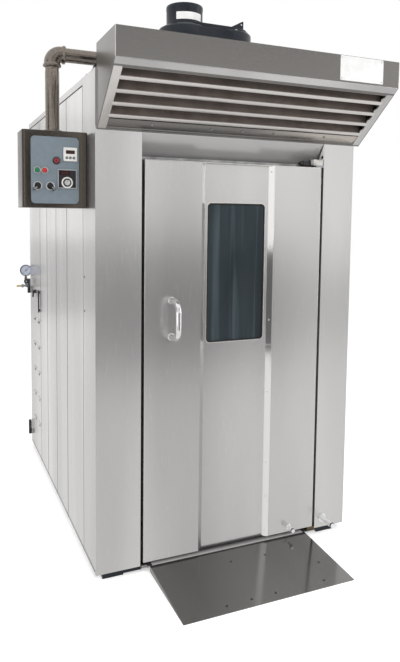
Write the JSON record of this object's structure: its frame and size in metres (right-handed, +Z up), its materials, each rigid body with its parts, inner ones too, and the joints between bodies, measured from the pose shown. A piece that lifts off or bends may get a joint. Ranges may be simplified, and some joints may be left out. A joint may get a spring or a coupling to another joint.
{
  "type": "rotating rack oven",
  "caption": "Stainless rotating rack oven with a windowed hinged door, extraction hood, pendant control box, entry ramp and a turning rack hook.",
  "frame": {"origin": "on the floor under the middle of the cabinet", "axes": "+Z up, +Y from the door towards the back, +X to the right as seen from the door"},
  "size_m": [1.629, 2.2693, 2.476],
  "materials": {
    "brushed_steel": "vertical brushed finish",
    "dark_steel": "brushed, darker in use",
    "black_paint": "satin black paint",
    "hammered_bronze": "dark bronze hammered paint",
    "black_rubber": "matt",
    "smoked_glass": "tempered, slightly smoked",
    "chrome": "polished",
    "brass": "satin, slightly dulled",
    "zinc": "zinc plated or cast",
    "black_plastic": "fine satin moulding",
    "white_plastic": "satin moulding",
    "panel_membrane": "grey printed plate, left plain",
    "green_plastic": "translucent lens",
    "red_plastic": "translucent lens"
  },
  "bodies": {
    "oven_body": {"alarm_lamp": "red_plastic", "base_frame": "black_paint", "blower_housing": "black_paint", "blower_motor": "black_paint", "bottom_hinge_bracket": "brass", "chamber_ceiling": "brushed_steel", "chamber_floor": "dark_steel", "chamber_left_wall": "brushed_steel", "chamber_rear_wall": "brushed_steel", "chamber_right_wall": "brushed_steel", "control_box": "hammered_bronze", "control_panel": "panel_membrane", "door_gasket": "black_rubber", "fan_motor": "black_paint", "gear_motor": "black_paint", "header_panel": "brushed_steel", "heater_bank": "zinc", "hood_baffle": "brushed_steel", "hood_canopy": "dark_steel", "left_post": "brushed_steel", "left_side_panel_1": "brushed_steel", "left_side_panel_2": "brushed_steel", "left_side_panel_3": "brushed_steel", "left_side_panel_4": "brushed_steel", "pendant_elbow": "hammered_bronze", "pendant_pipe_level": "hammered_bronze", "pendant_pipe_upright": "hammered_bronze", "plenum_bulkhead": "zinc", "post_stop": "chrome", "pressure_gauge": "chrome", "ramp": "dark_steel", "rear_cover": "brushed_steel", "right_post": "brushed_steel", "right_side_panel": "brushed_steel", "roof_panel": "brushed_steel", "shaft_bearing": "zinc", "steam_manifold": "brass", "temperature_controller": "black_plastic", "timer": "white_plastic", "top_hinge_bracket": "zinc"},
    "door": {"door_shell": "brushed_steel", "window_frame": "black_rubber", "window_glass": "smoked_glass", "door_handle": "chrome", "door_bumper": "chrome"},
    "service_door_leaf": {"service_door": "brushed_steel"},
    "service_door_latch": {"service_latch": "black_plastic"},
    "rack_carrier": {"rack_hook": "zinc"},
    "fan_wheel": {"circulation_fan": "zinc"},
    "blower_wheel": {"blower_impeller": "zinc"},
    "start_button": {"green_button": "green_plastic"},
    "stop_button": {"red_button": "red_plastic"},
    "timer_button_1": {"timer_key_1": "black_plastic"},
    "timer_button_2": {"timer_key_2": "black_plastic"},
    "timer_button_3": {"timer_key_3": "black_plastic"},
    "left_switch": {"left_selector": "black_plastic"},
    "right_switch": {"right_selector": "black_plastic"},
    "temperature_dial": {"controller_dial": "white_plastic"},
    "water_valve": {"valve_knob": "zinc"},
    "pressure_needle": {"gauge_needle": "black_plastic"}
  },
  "joints": [
    {"name": "door_swing", "type": "hinge", "parent": "oven_body", "child": "door", "pos_m": [0.46, -0.893, 0.956], "axis": [0, 0, 1], "range_deg": [0, 90]},
    {"name": "service_door_swing", "type": "hinge", "parent": "oven_body", "child": "service_door_leaf", "pos_m": [-0.671, 0.892, 1.1], "axis": [0, 0, -1], "range_deg": [0, 90]},
    {"name": "service_latch_turn", "type": "hinge", "parent": "service_door_leaf", "child": "service_door_latch", "pos_m": [-0.659, 0.6853, 1.118], "axis": [1, 0, 0], "range_deg": [0, 90]},
    {"name": "rack_spin", "type": "hinge", "parent": "oven_body", "child": "rack_carrier", "pos_m": [0.0155, -0.255, 1.9], "axis": [0, 0, 1], "continuous": true},
    {"name": "circulation_fan_spin", "type": "hinge", "parent": "oven_body", "child": "fan_wheel", "pos_m": [0.0155, 0.413, 1.4], "axis": [0, 1, 0], "continuous": true},
    {"name": "blower_spin", "type": "hinge", "parent": "oven_body", "child": "blower_wheel", "pos_m": [-0.13, -1.045, 2.36], "axis": [0, 0, 1], "continuous": true},
    {"name": "green_press", "type": "slide", "parent": "oven_body", "child": "start_button", "axis": [0, 1, 0], "range_m": [0, 0.0025], "stiffness_N_per_m": 300},
    {"name": "red_press", "type": "slide", "parent": "oven_body", "child": "stop_button", "axis": [0, 1, 0], "range_m": [0, 0.0025], "stiffness_N_per_m": 300},
    {"name": "timer_key_1_press", "type": "slide", "parent": "oven_body", "child": "timer_button_1", "axis": [0, 1, 0], "range_m": [0, 0.001], "stiffness_N_per_m": 150},
    {"name": "timer_key_2_press", "type": "slide", "parent": "oven_body", "child": "timer_button_2", "axis": [0, 1, 0], "range_m": [0, 0.001], "stiffness_N_per_m": 150},
    {"name": "timer_key_3_press", "type": "slide", "parent": "oven_body", "child": "timer_button_3", "axis": [0, 1, 0], "range_m": [0, 0.001], "stiffness_N_per_m": 150},
    {"name": "left_selector_turn", "type": "hinge", "parent": "oven_body", "child": "left_switch", "pos_m": [-0.88, -0.805, 1.743], "axis": [0, -1, 0], "range_deg": [0, 90]},
    {"name": "right_selector_turn", "type": "hinge", "parent": "oven_body", "child": "right_switch", "pos_m": [-0.828, -0.805, 1.743], "axis": [0, 1, 0], "range_deg": [0, 90]},
    {"name": "controller_dial_turn", "type": "hinge", "parent": "oven_body", "child": "temperature_dial", "pos_m": [-0.757, -0.805, 1.759], "axis": [0, 1, 0], "range_deg": [0, 300]},
    {"name": "valve_knob_turn", "type": "hinge", "parent": "oven_body", "child": "water_valve", "pos_m": [-0.686, 0.915, 1.164], "axis": [0, 1, 0], "range_deg": [0, 360]},
    {"name": "gauge_needle_turn", "type": "hinge", "parent": "oven_body", "child": "pressure_needle", "pos_m": [-0.686, 0.926, 1.238], "axis": [0, 1, 0], "range_deg": [0, 270], "stiffness_Nm_per_rad": 0.0001}
  ]
}
